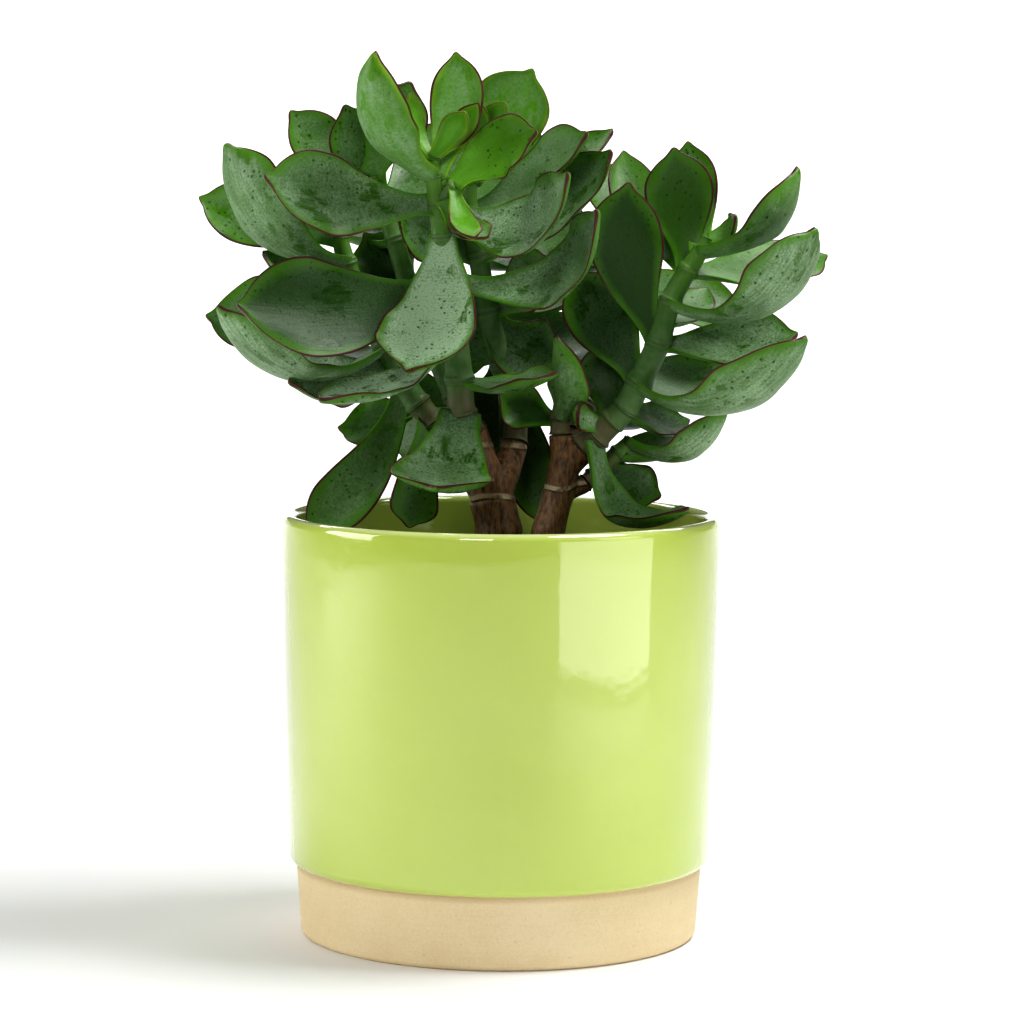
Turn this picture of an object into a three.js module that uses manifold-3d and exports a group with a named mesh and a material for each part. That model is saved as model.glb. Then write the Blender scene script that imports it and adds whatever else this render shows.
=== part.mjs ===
// Undulata jade plant in a cylindrical glazed pot. Millimetres, +Z up.
// The origin is the centre of the pot's flat base; the pot's axis is Z.

import * as THREE from 'three';
import { mergeVertices } from 'three/addons/utils/BufferGeometryUtils.js';
import Module from 'manifold-3d';

const wasm = await Module();
wasm.setup();

// Pot
const POT_HEIGHT = 134.6;
const RIM_RADIUS = 70;
const WALL_FOOT_RADIUS = 67.1;
const GLAZE_EDGE_HEIGHT = 23.2;
const GLAZE_EDGE_ROUND = 3;
const GLAZE_THICKNESS = 0.7;
const GLAZE_LIP_ANGLE = -60;
const RIM_STEPS = 4;
const FOOT_TOP_RADIUS = 64.8;
const FOOT_BOTTOM_RADIUS = 63.3;
const FOOT_ROUND = 1;
const WALL_THICKNESS = 4.6;
const FLOOR_THICKNESS = 8;
const POT_SEGMENTS = 48;

// Soil
const SOIL_EDGE_HEIGHT = 115;
const SOIL_MOUND = 3;
const MOUND_SHOULDER = [0.6, 0.8];
const ROOT_DEPTH = 34;
const ROOT_SIDES = 12;
const ROOT_OVERLAP = 2;

// Clearance between two pieces that touch
const SEAT = 0.3;

// Leaves and stems
const LEAF_THICKNESS = 2.9;
const LEAF_NECK_WIDTH = 6.2;
const LEAF_STATIONS = [0, 0.15, 0.32, 0.5, 0.67, 0.83, 0.94];
const LEAF_COLUMNS = [-1, -0.6, 0, 0.6, 1];
const LEAF_WAVES = 1.6;
const WAVE_HEIGHT = 0.07;
const SLIM_LEAF = 17;
const NECK_TAPER = 2.1;
const FLAT_AT_NECK = 0.35;
const THINNER_AT_END = 0.35;
const CURL_SCALE = 2.6;
const STEM_SIDES = 8;
const NODE_SWELLING = 1.1;
const BETWEEN_NODES = 0.92;

const { degToRad, lerp } = THREE.MathUtils;
const vector = ([x, y, z]) => new THREE.Vector3(x, y, z);

// A closed mesh from rings of points that advance along a piece, capped at both ends.
// forward[j] chooses the diagonal that splits the cells of column j.
function loft(rings, forward, tip) {
  const count = rings[0].length;
  const points = rings.flat();
  const triangles = [];
  for (let i = 0; i + 1 < rings.length; i += 1) {
    for (let j = 0; j < count; j += 1) {
      const next = (j + 1) % count;
      const a = i * count + j;
      const b = i * count + next;
      const c = (i + 1) * count + next;
      const d = (i + 1) * count + j;
      if (forward[j % forward.length]) triangles.push(a, b, c, a, c, d);
      else triangles.push(a, b, d, b, c, d);
    }
  }
  const centre = (ring) => ring.reduce((sum, p) => sum.add(p), new THREE.Vector3()).divideScalar(count);
  const start = points.push(centre(rings[0])) - 1;
  const end = points.push(tip ?? centre(rings.at(-1))) - 1;
  const last = (rings.length - 1) * count;
  for (let j = 0; j < count; j += 1) {
    const next = (j + 1) % count;
    triangles.push(start, next, j, end, last + j, last + next);
  }
  const geometry = new THREE.BufferGeometry().setFromPoints(points);
  geometry.setIndex(triangles);
  return geometry;
}

// A manifold solid from a closed geometry
function solid(geometry) {
  const bare = geometry.clone();
  bare.deleteAttribute('normal');
  bare.deleteAttribute('uv');
  const merged = mergeVertices(bare, 1e-4);
  const index = merged.index.array;
  const triangles = [];
  for (let i = 0; i < index.length; i += 3) {
    const [a, b, c] = index.subarray(i, i + 3);
    if (a !== b && b !== c && c !== a) triangles.push(a, b, c);
  }
  return new wasm.Manifold(new wasm.Mesh({
    numProp: 3,
    vertProperties: merged.attributes.position.array,
    triVerts: new Uint32Array(triangles),
  }));
}

function geometryOf(manifold) {
  const mesh = manifold.getMesh();
  const geometry = new THREE.BufferGeometry();
  geometry.setAttribute('position', new THREE.BufferAttribute(new Float32Array(mesh.vertProperties), 3));
  geometry.setIndex(new THREE.BufferAttribute(new Uint32Array(mesh.triVerts), 1));
  return geometry;
}

// A profile of [radius, height] points turned about the pot's axis
function turned(profile) {
  const points = profile.map(([radius, height]) => new THREE.Vector2(radius, height));
  return solid(new THREE.LatheGeometry(points, POT_SEGMENTS).rotateX(Math.PI / 2));
}

// A quarter round as [radius, height] points, from one angle to another in degrees
function round(radius, height, size, from, to, steps) {
  const points = [];
  for (let i = 0; i <= steps; i += 1) {
    const angle = degToRad(lerp(from, to, i / steps));
    points.push([radius + size * Math.cos(angle), height + size * Math.sin(angle)]);
  }
  return points;
}

// Outer radius of the glazed wall at a height
function wallRadius(height) {
  const share = (height - GLAZE_EDGE_HEIGHT) / (POT_HEIGHT - GLAZE_EDGE_HEIGHT);
  return lerp(WALL_FOOT_RADIUS, RIM_RADIUS, share);
}

const shoulder = GLAZE_EDGE_HEIGHT + GLAZE_EDGE_ROUND;
const shoulderMiddle = wallRadius(shoulder) - GLAZE_EDGE_ROUND;
const rimCentre = POT_HEIGHT - WALL_THICKNESS / 2;
const rimMiddle = wallRadius(rimCentre) - WALL_THICKNESS / 2;
const innerRadius = wallRadius(FLOOR_THICKNESS) - WALL_THICKNESS;

// The glazed surface from the shoulder over the rim and down to the middle of the floor,
// or a surface that lies some depth under it
function glazedSide(depth) {
  const floor = FLOOR_THICKNESS + GLAZE_THICKNESS - depth;
  return [
    ...round(shoulderMiddle, shoulder, GLAZE_EDGE_ROUND - depth, GLAZE_LIP_ANGLE, 0, 1),
    ...round(rimMiddle, rimCentre, WALL_THICKNESS / 2 - depth, 0, 180, RIM_STEPS),
    [innerRadius + depth, floor],
    [0, floor],
  ];
}

function potBody() {
  return turned([
    [0, 0],
    ...round(FOOT_BOTTOM_RADIUS - FOOT_ROUND, FOOT_ROUND, FOOT_ROUND, -90, 0, 2),
    [FOOT_TOP_RADIUS, GLAZE_EDGE_HEIGHT],
    ...glazedSide(GLAZE_THICKNESS),
  ]);
}

// The coat of glaze: its face on the clay, then its outer face
function potGlaze() {
  return turned([...glazedSide(GLAZE_THICKNESS - SEAT).reverse(), ...glazedSide(0)]);
}

// The soil stands clear of the glaze by the seat, with a plain hole for each trunk
function soilMound() {
  const radius = (height) => wallRadius(height) - WALL_THICKNESS - SEAT;
  const bottom = FLOOR_THICKNESS + GLAZE_THICKNESS + SEAT;
  const edge = radius(SOIL_EDGE_HEIGHT);
  const [out, up] = MOUND_SHOULDER;
  const mound = turned([
    [0, bottom],
    [radius(bottom), bottom],
    [edge, SOIL_EDGE_HEIGHT],
    [edge * out, SOIL_EDGE_HEIGHT + SOIL_MOUND * up],
    [0, SOIL_EDGE_HEIGHT + SOIL_MOUND],
  ]);
  return Object.values(TRUNKS).reduce((soil, { stem }) => soil.subtract(plainRoot(stem[0], SEAT)), mound);
}

// The straight round root under the foot [x, y, z, radius] of a trunk
function plainRoot([x, y, z, radius], grow) {
  const length = ROOT_DEPTH + ROOT_OVERLAP + grow;
  const root = new THREE.CylinderGeometry(radius + grow, radius + grow, length, ROOT_SIDES);
  return solid(root.rotateX(Math.PI / 2).translate(x, y, z + ROOT_OVERLAP - length / 2));
}

// A round limb through points [x, y, z, radius], swollen at each point. Only the stretch from
// point first to point last is made, and lift moves its start up along the limb.
function limb(points, { first = 0, last = points.length - 1, lift = 0 } = {}) {
  const curve = new THREE.CatmullRomCurve3(points.map(vector), false, 'centripetal');
  const rings = [];
  for (let i = 2 * first; i <= 2 * last; i += 1) {
    const along = i / (2 * (points.length - 1));
    const place = curve.getPoint(along);
    const ahead = curve.getTangent(along);
    if (i === 2 * first) place.addScaledVector(ahead, lift);
    const across = new THREE.Vector3().crossVectors(new THREE.Vector3(0, 1, 0), ahead).normalize();
    const back = new THREE.Vector3().crossVectors(ahead, across);
    const k = Math.floor(i / 2);
    const between = (points[k][3] + points[Math.min(k + 1, points.length - 1)][3]) / 2;
    const radius = i % 2 ? between * BETWEEN_NODES : points[k][3] * NODE_SWELLING;
    const ring = [];
    for (let j = 0; j < STEM_SIDES; j += 1) {
      const angle = (2 * Math.PI * (j + 0.5)) / STEM_SIDES;
      ring.push(place.clone()
        .addScaledVector(across, radius * Math.cos(angle))
        .addScaledVector(back, radius * Math.sin(angle)));
    }
    rings.push(ring);
  }
  return loft(rings, [true]);
}

// Share of the full width at t along a leaf: a narrow neck, a broad blade and a blunt end
function leafOutline(t, neck, widest, blunt) {
  if (t < widest) return neck + (1 - neck) * Math.sin((Math.PI / 2) * (t / widest)) ** NECK_TAPER;
  return Math.sqrt(Math.max(0, 1 - ((t - widest) / (1 - widest)) ** blunt));
}

// Zero at both ends of a leaf and one in its middle
const hump = (t) => 4 * t * (1 - t);

// A fleshy leaf from root to tip. face is the way its upper side looks; dip sags the midrib away
// from the face, curl turns the end towards it, bend goes sideways and cup raises the margins,
// which are waved.
function leaf(root, {
  tip, face, width, dip = 2, curl = 1, bend = 0, cup = 24, widest = 0.66, blunt = 2.4,
  neck = LEAF_NECK_WIDTH, thick = LEAF_THICKNESS,
}) {
  const end = vector(tip);
  const chord = end.clone().sub(root);
  const length = chord.length();
  chord.normalize();
  const up = vector(face);
  up.addScaledVector(chord, -up.dot(chord)).normalize();
  const side = new THREE.Vector3().crossVectors(chord, up);
  const midrib = (t) => root.clone()
    .addScaledVector(chord, length * t)
    .addScaledVector(up, curl * CURL_SCALE * (t ** 3 - t) - dip * hump(t))
    .addScaledVector(side, bend * hump(t));
  const stations = LEAF_STATIONS.filter((t, i) => width > SLIM_LEAF || i % 2 === 0);
  const rings = stations.map((t) => {
    const ahead = midrib(t + 0.01).sub(midrib(t - 0.01)).normalize();
    const across = new THREE.Vector3().crossVectors(ahead, up).normalize();
    const above = new THREE.Vector3().crossVectors(across, ahead);
    const half = (width / 2) * leafOutline(t, Math.min(1, neck / width), widest, blunt);
    const arc = Math.max(degToRad(cup) * Math.min(1, FLAT_AT_NECK + t), 0.01);
    const depth = thick * (1 - THINNER_AT_END * t);
    const point = (s, below) => {
      const lean = arc * s;
      const ripple = WAVE_HEIGHT * half * Math.abs(s) ** 3 * Math.sin(2 * Math.PI * LEAF_WAVES * t + s);
      return midrib(t)
        .addScaledVector(across, (half * Math.sin(lean)) / arc + below * Math.sin(lean))
        .addScaledVector(above, (half * (1 - Math.cos(lean))) / arc + ripple - below * Math.cos(lean));
    };
    const upper = LEAF_COLUMNS.map((s) => point(s, 0));
    const fullness = (s) => depth * Math.sqrt(1 - Math.abs(s) ** 3);
    const lower = LEAF_COLUMNS.slice(1, -1).reverse().map((s) => point(s, fullness(s)));
    return [...upper, ...lower];
  });
  return loft(rings, [true, true, false, false, true, true, false, false], end);
}

// Leafy stems. wood is the brown part from the fork up to where the stem turns green, nodes are
// the leaf joints above it as [x, y, z, radius], and each leaf names the joint that it grows from,
// or gives its own root between two joints. A side shoot is a short limb of its own.
const STEMS = {
  stem_front: {
    wood: [[-3, 0, 139, 6.5], [-6, -5, 150, 5.2], [-10, -8, 161, 4.6]],
    nodes: [[-12.5, -9.5, 167, 4.6], [-13.5, -11, 178, 4.6], [-15, -13, 193, 4.3], [-16, -16, 209, 4],
      [-19, -19, 223, 3.5], [-20.5, -20.5, 233, 3.2], [-22, -23, 242, 2.6], [-22, -24, 247, 2]],
    shoots: [[[-20, -21, 233, 2.2], [-15.5, -26, 239, 1.8]]],
    leaves: [
      {
        root: [-13, -12.5, 168], tip: [-20, -50, 146.5], face: [0, -0.75, 0.65], width: 33, curl: 5,
        widest: 0.88, blunt: 4, neck: 10,
      },
      { node: 1, tip: [17, -22, 181], face: [0, -0.2, 1], width: 22, cup: 30 },
      {
        node: 2, tip: [-56, -42, 173], face: [-0.1, -0.16, 0.98], width: 27, dip: 5, cup: 22,
        widest: 0.7, blunt: 3,
      },
      { node: 3, tip: [-81, -45, 202], face: [0, -0.9, 0.4], width: 34, dip: 3, bend: -4, widest: 0.68 },
      {
        node: 3, tip: [29, -42, 231], face: [-0.4, -0.65, 0.65], width: 28, dip: 9, curl: 6, bend: 3.5,
        widest: 0.7,
      },
      {
        root: [-19, -22.5, 223], tip: [-29, -48, 182], face: [-0.25, -0.8, 0.56], width: 32, curl: 4,
        bend: -3.5, widest: 0.9, blunt: 3, neck: 9,
      },
      { node: 5, tip: [-73, -40, 241], face: [0, -0.85, 0.5], width: 29, dip: 3, bend: -2, widest: 0.68 },
      { node: 5, tip: [20, -42, 242], face: [-0.25, -0.7, 0.68], width: 31, dip: 9, curl: 5, bend: 4.5 },
      {
        node: 6, tip: [-40, -40, 279], face: [0.5, 0.7, 0.5], width: 23, dip: 5, bend: 4.5, cup: 40,
        widest: 0.5, blunt: 1.9,
      },
      {
        root: [-15.5, -26, 239], tip: [10, -30, 256], face: [-0.3, -0.75, 0.6], width: 24, bend: -3.5,
        widest: 0.56,
      },
      { node: 6, tip: [-15, -12, 280], face: [0, -1, 0.1], width: 17, bend: 3 },
      { node: 7, tip: [-29, -22, 267], face: [0.5, -0.6, 0.3], width: 8, neck: 3, thick: 2 },
      { node: 7, tip: [-12, -31, 261], face: [0.2, -0.9, 0.2], width: 9, neck: 3, thick: 2 },
      { node: 7, tip: [-8, -20, 264], face: [-0.2, -0.9, 0.2], width: 9, neck: 3, thick: 2 },
      { root: [-15.5, -26, 239], tip: [-9, -46, 223], face: [0.2, -0.7, 0.6], width: 10, neck: 3, thick: 2 },
      { root: [-19, -25, 234], tip: [-5, -42, 223], face: [0.1, -0.7, 0.7], width: 13, neck: 4, thick: 2 },
    ],
  },
  stem_left: {
    wood: [[-3, 0, 139, 6.5], [-10, 4, 149, 5], [-18, 6, 158, 4.4]],
    nodes: [[-22, 6, 163, 4.3], [-27, 6, 169, 4.3], [-31, 6, 175, 4.2], [-38, 6, 188, 4], [-44, 6, 199, 3.7],
      [-50, 6, 214, 3.3], [-52, 6, 222, 2.8], [-53, 6, 230, 2]],
    leaves: [
      {
        root: [-24.5, 4, 165], tip: [-29, -12, 131], face: [0.3, -0.9, 0.3], width: 16, dip: -2,
        widest: 0.84, neck: 4,
      },
      { node: 1, tip: [-53, 20, 160], face: [0, -0.7, 0.7], width: 21 },
      { node: 2, tip: [-62, -6, 129], face: [0.3, -0.8, 0.5], width: 19, curl: 3, bend: -5, widest: 0.74 },
      { node: 3, tip: [-89, -20, 200], face: [0.3, 0.3, 0.9], width: 36, dip: 14 },
      { node: 4, tip: [-96, 22, 196], face: [0, -0.75, 0.65], width: 31 },
      { node: 5, tip: [-88, 0, 251], face: [0.47, 0.62, 0.6], width: 34, dip: 11, cup: 38 },
      { node: 6, tip: [-98, 20, 234], face: [0.1, -0.9, 0.4], width: 23 },
      { root: [-34.5, 6, 181.5], tip: [-67, -14, 177], face: [0, -0.8, 0.6], width: 26, widest: 0.7 },
      { root: [-47, 6, 207], tip: [-77, 12, 217], face: [0, -0.6, 0.8], width: 15 },
    ],
  },
  stem_back_left: {
    wood: [[-3, 0, 139, 6], [-5, 7, 148, 4.8], [-9, 13, 160, 4.2]],
    nodes: [[-15, 15, 171, 4.1], [-23, 17, 188, 3.9], [-30, 18, 205, 3.6], [-35, 20, 221, 3.2],
      [-39, 21, 232, 2.8], [-43, 21, 241, 2]],
    leaves: [
      { node: 2, tip: [-45, 24, 223], face: [0.3, -0.9, 0.2], width: 25, dip: 1 },
      { node: 4, tip: [-51, 18, 264], face: [0.2, -0.9, 0.3], width: 20 },
      { node: 4, tip: [-69, 24, 262], face: [0.3, -0.9, 0.3], width: 19, widest: 0.72 },
      { node: 5, tip: [-30, 8, 271], face: [0, -1, 0.2], width: 22 },
      { node: 3, tip: [-60, 52, 236], face: [0.3, -0.4, 0.85], width: 26, dip: 5 },
      { node: 2, tip: [-4, 46, 180], face: [-0.1, -0.85, 0.5], width: 27, dip: 3 },
      { node: 1, tip: [-62, 42, 186], face: [0.2, -0.2, 0.95], width: 26, dip: 5 },
      { node: 4, tip: [-13, 46, 259], face: [0, -0.75, 0.6], width: 24, dip: 3 },
      { node: 0, tip: [-35, 43, 151], face: [0.2, -0.8, 0.5], width: 22, dip: 3 },
      { node: 0, tip: [-36, 24, 175], face: [0.2, -0.8, 0.5], width: 15 },
      { node: 1, tip: [-42, 56, 210], face: [0.2, -0.6, 0.8], width: 24, dip: 4 },
    ],
  },
  stem_back: {
    wood: [[-3, 0, 139, 6], [1, 7, 147, 4.8], [4, 12, 156, 4.2]],
    nodes: [[4, 15, 166, 4.1], [0, 18, 181, 4], [-5, 19, 198, 3.8], [-8, 18, 216, 3.5], [-11, 18, 230, 3.2],
      [-11, 18, 240, 2.6], [-10, 18, 246, 2]],
    leaves: [
      { node: 5, tip: [9, 22, 276], face: [0, -1, 0.2], width: 26 },
      { node: 6, tip: [0, 12, 265], face: [-0.3, -0.9, 0.3], width: 11, bend: -1, neck: 4, thick: 2 },
      { node: 6, tip: [-7, 14, 264], face: [-0.2, -1, 0.2], width: 6, neck: 3, thick: 2 },
      { node: 4, tip: [26, -4, 255.5], face: [-0.3, -0.65, 0.7], width: 25, cup: 35 },
      { node: 4, tip: [35, 26, 257], face: [-0.4, -0.5, 0.8], width: 19 },
      { node: 3, tip: [34, 4, 250], face: [-0.35, -0.65, 0.65], width: 25, bend: 3, cup: 30 },
      { node: 2, tip: [15, 1, 216], face: [0, -0.9, 0.45], width: 22 },
      { node: 3, tip: [-34, 7, 230], face: [0.1, -0.9, 0.4], width: 22 },
      { node: 2, tip: [20, 12, 184], face: [0.1, -0.9, 0.4], width: 24, bend: 4 },
      { node: 3, tip: [4, 56, 222], face: [0, -0.65, 0.75], width: 26, dip: 4 },
      { node: 2, tip: [34, 54, 214], face: [-0.3, -0.3, 0.9], width: 28, dip: 5 },
      { node: 4, tip: [6, 58, 262], face: [-0.1, -0.6, 0.8], width: 25, dip: 4 },
      { node: 1, tip: [-14, 46, 140], face: [0.1, -0.9, 0.3], width: 25, dip: 3 },
      { node: 1, tip: [14, 19, 129], face: [0, -1, 0.05], width: 17, dip: 3 },
    ],
  },
  stem_middle: {
    wood: [[20, -1, 150, 4.5], [18.5, -1, 160, 3.5]],
    nodes: [[18.5, -1, 165, 3.3], [19.5, -2, 172, 3], [21, -2, 178, 2.4]],
    leaves: [
      {
        node: 0, tip: [17, -12, 192], face: [0.3, 0.6, 0.3], width: 15, cup: 40, bend: -4,
        widest: 0.45, blunt: 1.4, neck: 4,
      },
      { root: [16, -2, 165], tip: [-1, 4, 172], face: [0, -0.9, 0.4], width: 16, neck: 4 },
    ],
  },
  stem_right: {
    wood: [[20, -1, 150, 5], [25.8, -2.4, 156, 4.9]],
    nodes: [[30, -4, 160, 4.8], [35, -5, 165, 4.5], [39, -6, 169, 4.4], [43, -8, 177, 4.3], [49, -10, 190, 4],
      [52.5, -12, 203, 3.7], [58, -12, 213, 3.3], [62, -12, 219, 2.7], [64, -12, 223, 2]],
    leaves: [
      { node: 4, tip: [38, -26, 240], face: [-0.1, -0.95, -0.2], width: 24, bend: -4.5 },
      { node: 6, tip: [53, -12, 251], face: [0, -1, 0.2], width: 22 },
      { node: 6, tip: [38, 18, 250], face: [0.2, -0.9, 0.3], width: 17, bend: -3 },
      { node: 7, tip: [58, 2, 253], face: [0, -1, 0.2], width: 16 },
      { node: 8, tip: [72, -18, 230], face: [-0.5, -0.5, 0.5], width: 10, neck: 4, thick: 2 },
      { node: 7, tip: [91.5, -20, 245], face: [-0.3, 0.5, 0.8], width: 20, dip: 4, curl: 5, blunt: 1.6 },
      { node: 6, tip: [104, 16, 217], face: [0, -0.6, 0.8], width: 24 },
      {
        node: 5, tip: [96, -36, 226], face: [-0.45, 0.5, 0.7], width: 32, dip: 13, bend: -1.5, cup: 30,
        widest: 0.74, blunt: 3.2,
      },
      { node: 4, tip: [93, -8, 193], face: [0, -0.6, 0.8], width: 26 },
      { node: 3, tip: [93, -42, 193], face: [-0.3, 0.55, 0.75], width: 30, dip: 13, cup: 30 },
      { node: 2, tip: [60, 10, 164], face: [0, -0.6, 0.8], width: 20 },
      { root: [32, -7, 163], tip: [24, -16, 169], face: [0, -0.9, 0.4], width: 9, neck: 4 },
      { node: 1, tip: [31, 4, 190], face: [-0.3, -0.8, 0.4], width: 18 },
      { node: 3, tip: [23, 6, 212], face: [-0.3, -0.8, 0.4], width: 23 },
      {
        root: [29.5, -7.5, 159], tip: [58, -30, 138.5], face: [0.5, -0.5, 0.7], width: 24, dip: 14,
        cup: 25, neck: 7,
      },
      { root: [51, -11, 197], tip: [66, 22, 206], face: [0.1, -0.6, 0.8], width: 14 },
    ],
  },
  stem_back_right: {
    wood: [[20, -1, 150, 4.6], [22.5, 7, 160, 4.1]],
    nodes: [[26, 11, 169, 4], [32, 18, 184, 3.9], [36, 24, 200, 3.6], [38, 27, 214, 3.2], [39, 29, 224, 2.6],
      [39, 30, 231, 2]],
    leaves: [
      { node: 4, tip: [40, 62, 248], face: [0, -0.6, 0.8], width: 24, dip: 4 },
      { node: 3, tip: [80, 42, 197], face: [-0.3, -0.65, 0.7], width: 26, dip: 4 },
      { node: 2, tip: [50, 74, 208], face: [0, -0.3, 0.9], width: 28, dip: 5 },
      { node: 1, tip: [80, 38, 174], face: [-0.1, -0.6, 0.8], width: 28, dip: 4 },
      { node: 1, tip: [5, 54, 197], face: [0.1, -0.65, 0.75], width: 27, dip: 4 },
      { node: 0, tip: [50, 58, 164], face: [0, -0.1, 1], width: 26, dip: 4 },
      { node: 3, tip: [4, 46, 228], face: [0.1, -0.8, 0.6], width: 27 },
    ],
  },
  stem_low_right: {
    wood: [[18, -2, 141, 3.4], [26.5, 1.6, 144.3, 2.9]],
    nodes: [[29, 2.5, 146.5, 3], [32, 3.5, 149.5, 2.9], [37, 4, 154, 2.8], [41, 4, 158, 2.2]],
    leaves: [
      { node: 3, tip: [71, -4, 168], face: [-0.2, 0.45, 0.85], width: 20, dip: 8, cup: 30 },
      { node: 1, tip: [51, 5, 140], face: [0, -0.8, 0.5], width: 17, neck: 5 },
      { node: 2, tip: [58, 34, 158], face: [0, -0.2, 1], width: 22 },
      { node: 1, tip: [42, 17, 148.5], face: [0, -0.8, 0.5], width: 9, neck: 4 },
    ],
  },
};

// Trunks: the foot of each stands on a straight root in the soil
const TRUNKS = {
  trunk_left: {
    stem: [[-2, 0, 120, 7.2], [-1, 0, 129, 7.6], [-3, 0, 139, 7.2]],
    forks: ['stem_front', 'stem_left', 'stem_back_left', 'stem_back'],
  },
  trunk_right: {
    stem: [[12, -4, 120, 5], [15, -4, 130, 5.2], [18, -2, 141, 5], [20, -1, 150, 5]],
    forks: ['stem_right', 'stem_middle', 'stem_back_right', 'stem_low_right'],
  },
};

function joined(solids) {
  return solids.reduce((sum, next) => sum.add(next));
}

function leafyStem({ wood, nodes, shoots = [], leaves }) {
  const stem = solid(limb([...wood, ...nodes], { first: wood.length - 1, lift: SEAT }));
  const sides = shoots.map((points) => solid(limb(points)));
  const blades = leaves.map((entry) => solid(leaf(vector(entry.root ?? nodes[entry.node]), entry)));
  return joined([stem, ...sides, ...blades]);
}

function trunk({ stem, forks }) {
  const limbs = forks.map((name) => {
    const { wood, nodes } = STEMS[name];
    return limb([...wood, ...nodes], { last: wood.length - 1 });
  });
  return joined([plainRoot(stem[0], 0), ...[limb(stem), ...limbs].map(solid)]);
}

const STONEWARE = new THREE.MeshStandardMaterial({ color: 0xe3c9a0, roughness: 0.85, metalness: 0 });
const GLAZE = new THREE.MeshStandardMaterial({ color: 0xc3dd73, roughness: 0.12, metalness: 0 });
const SOIL = new THREE.MeshStandardMaterial({ color: 0x3a2a1e, roughness: 0.95, metalness: 0 });
const BARK = new THREE.MeshStandardMaterial({ color: 0x5c4130, roughness: 0.6, metalness: 0 });
const FOLIAGE = new THREE.MeshStandardMaterial({ color: 0x4b7a38, roughness: 0.45, metalness: 0 });

const plant = new THREE.Group();
function place(name, manifold, material) {
  const mesh = new THREE.Mesh(geometryOf(manifold), material.clone());
  mesh.name = name;
  plant.add(mesh);
}

place('pot_body', potBody(), STONEWARE);
place('pot_glaze', potGlaze(), GLAZE);
place('soil', soilMound(), SOIL);
for (const [name, data] of Object.entries(TRUNKS)) place(name, trunk(data), BARK);
for (const [name, data] of Object.entries(STEMS)) place(name, leafyStem(data), FOLIAGE);

export default plant;
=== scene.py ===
import math

import bmesh
import bpy
import numpy as np
from mathutils import Matrix, Vector


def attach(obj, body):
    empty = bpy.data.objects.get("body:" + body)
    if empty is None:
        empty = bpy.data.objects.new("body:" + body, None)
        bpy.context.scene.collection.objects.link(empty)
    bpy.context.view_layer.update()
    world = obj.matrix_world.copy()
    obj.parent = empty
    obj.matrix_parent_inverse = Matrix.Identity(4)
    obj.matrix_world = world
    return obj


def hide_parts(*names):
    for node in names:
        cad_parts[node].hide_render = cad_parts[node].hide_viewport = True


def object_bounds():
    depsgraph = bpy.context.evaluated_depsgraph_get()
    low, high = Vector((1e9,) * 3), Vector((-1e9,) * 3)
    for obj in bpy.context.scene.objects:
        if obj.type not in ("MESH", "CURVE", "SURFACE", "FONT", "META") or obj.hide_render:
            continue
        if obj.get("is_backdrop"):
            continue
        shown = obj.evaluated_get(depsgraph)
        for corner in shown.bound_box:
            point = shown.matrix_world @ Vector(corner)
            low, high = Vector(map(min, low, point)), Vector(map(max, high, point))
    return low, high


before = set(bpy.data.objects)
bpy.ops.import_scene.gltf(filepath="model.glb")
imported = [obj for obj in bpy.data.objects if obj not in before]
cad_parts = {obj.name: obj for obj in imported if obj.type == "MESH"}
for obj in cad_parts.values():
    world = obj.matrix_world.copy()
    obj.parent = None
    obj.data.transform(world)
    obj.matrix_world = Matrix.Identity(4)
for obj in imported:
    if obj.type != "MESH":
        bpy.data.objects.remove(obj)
cad_box = [list(corner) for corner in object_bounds()]


# Camera. It stands in front of the pot at almost twice the pot's height, looks slightly down,
# and has the long lens of a catalogue picture.
MM = 0.001
CAMERA_PLACE = (0, -1160 * MM, 242 * MM)
CAMERA_PITCH = 0.0919
CAMERA_YAW = 0.0029
CAMERA_ROLL = 0.0079
CAMERA_LENS = 128.6

camera = bpy.data.objects.new("camera", bpy.data.cameras.new("camera"))
bpy.context.scene.collection.objects.link(camera)
camera.data.lens = CAMERA_LENS
camera.data.sensor_width = 36
camera.matrix_world = (
    Matrix.Translation(CAMERA_PLACE)
    @ Matrix.Rotation(-CAMERA_YAW, 4, "Z")
    @ Matrix.Rotation(math.pi / 2 - CAMERA_PITCH, 4, "X")
    @ Matrix.Rotation(CAMERA_ROLL, 4, "Z")
)
bpy.context.scene.camera = camera
bpy.context.scene.view_settings.view_transform = "Standard"
bpy.context.scene.view_settings.look = "Medium High Contrast"


# Light. A dim studio with softboxes: a low strip on the right that the glaze reflects as a bright
# band, a broad panel on each side, one over the camera, one overhead, and a large one behind
# that makes the paper white.
def panel(name, place, aim, width, height, power):
    """A rectangular softbox that faces a point."""
    light = bpy.data.lights.new(name, "AREA")
    light.shape = "RECTANGLE"
    light.size = width
    light.size_y = height
    light.energy = power
    stand = bpy.data.objects.new(name, light)
    bpy.context.scene.collection.objects.link(stand)
    stand.location = place
    stand.rotation_euler = (Vector(aim) - Vector(place)).to_track_quat("-Z", "Y").to_euler()


PLANT_HEART = (0, 0, 0.2)
panel("right_strip", (0.39, -0.28, 0.075), (0, 0, 0.075), 0.46, 0.13, 0.32)
panel("right_panel", (0.8, -0.4, 0.42), PLANT_HEART, 0.4, 0.4, 0.8)
panel("left_panel", (-0.85, -0.1, 0.32), (0, 0, 0.15), 0.5, 0.46, 3.4)
panel("key_panel", (-0.3, -1.25, 0.95), PLANT_HEART, 0.4, 0.4, 4.8)
panel("top_panel", (0.38, -0.02, 0.9), PLANT_HEART, 0.34, 0.34, 6.2)
panel("backdrop_panel", (0, 1.75, 1.6), (0, 2.4, 0.1), 2.6, 1.2, 50)

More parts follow.
